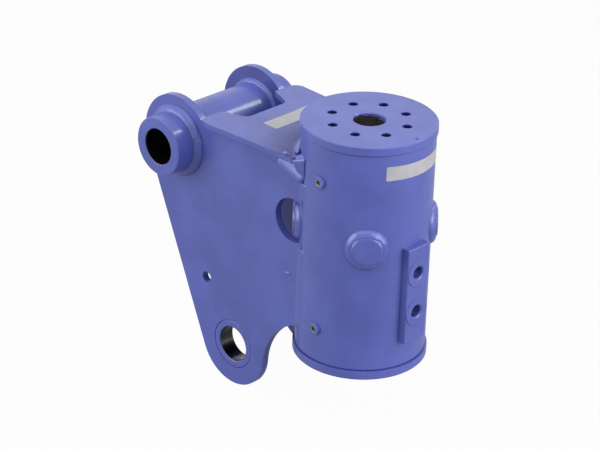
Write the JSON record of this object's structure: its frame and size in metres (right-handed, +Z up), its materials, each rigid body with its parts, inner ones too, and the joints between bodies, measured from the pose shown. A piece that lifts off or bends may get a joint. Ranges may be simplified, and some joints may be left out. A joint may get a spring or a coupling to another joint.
{
  "type": "platform rotator",
  "caption": "Helical hydraulic rotary actuator in a welded lifting bracket, with a bolted turning flange on top, a pivot tube and a lower pin clevis.",
  "frame": {"origin": "centre of the end cap's lower face, on the rotation axis", "axes": "+Z up the rotation axis to the turning flange, +X from the bracket to the port block, pivot axes along Y; the side with the bleed screws is -Y"},
  "size_m": [0.3495, 0.1824, 0.3418],
  "materials": {
    "blue_paint": "gloss",
    "bare_steel": "machined",
    "hardened_steel": "ground",
    "bearing_bronze": "satin",
    "bearing_plastic": "matte",
    "seal_rubber": "matte"
  },
  "bodies": {
    "housing": {"housing": "blue_paint", "ring_gear": "hardened_steel", "ring_gear_pins": "blue_paint", "pin_welds": "blue_paint", "side_plate_left": "blue_paint", "side_plate_right": "blue_paint", "top_plate": "blue_paint", "pivot_tube": "blue_paint", "lower_bush_left": "blue_paint", "lower_bush_right": "blue_paint", "port_block": "blue_paint", "bleed_screws": "bare_steel", "upper_thrust_washer": "bearing_bronze", "lower_thrust_washer": "bearing_bronze", "pivot_welds": "blue_paint", "bracket_welds": "blue_paint"},
    "shaft": {"shaft": "blue_paint", "end_cap": "blue_paint", "cap_lock_screws": "bare_steel", "cap_o_ring": "seal_rubber", "upper_bearing": "bearing_plastic", "lower_bearing": "bearing_plastic", "upper_shaft_seal": "seal_rubber", "lower_shaft_seal": "seal_rubber"},
    "piston_slider": {"piston_outer_seal": "seal_rubber", "piston_wear_ring": "bearing_plastic", "piston_inner_seal": "seal_rubber", "piston_inner_ring": "bearing_plastic"},
    "piston": {"piston_sleeve": "hardened_steel"}
  },
  "joints": [
    {"name": "shaft_turn", "type": "hinge", "parent": "housing", "child": "shaft", "pos_m": [0, 0, 0.13335], "axis": [0, 0, 1], "range_deg": [-90, 90]},
    {"name": "piston_slide", "type": "slide", "parent": "housing", "child": "piston_slider", "axis": [0, 0, 1], "range_m": [-0.027, 0.027]},
    {"name": "sleeve_turn", "type": "hinge", "parent": "piston_slider", "child": "piston", "pos_m": [0, 0, 0.141], "axis": [0, 0, 1], "range_deg": [-38.57, 38.57]}
  ],
  "couplings": [
    {"joint": "piston_slide", "follows": "shaft_turn", "m_per_rad": 0.017189},
    {"joint": "sleeve_turn", "follows": "shaft_turn", "ratio": 0.42857}
  ]
}
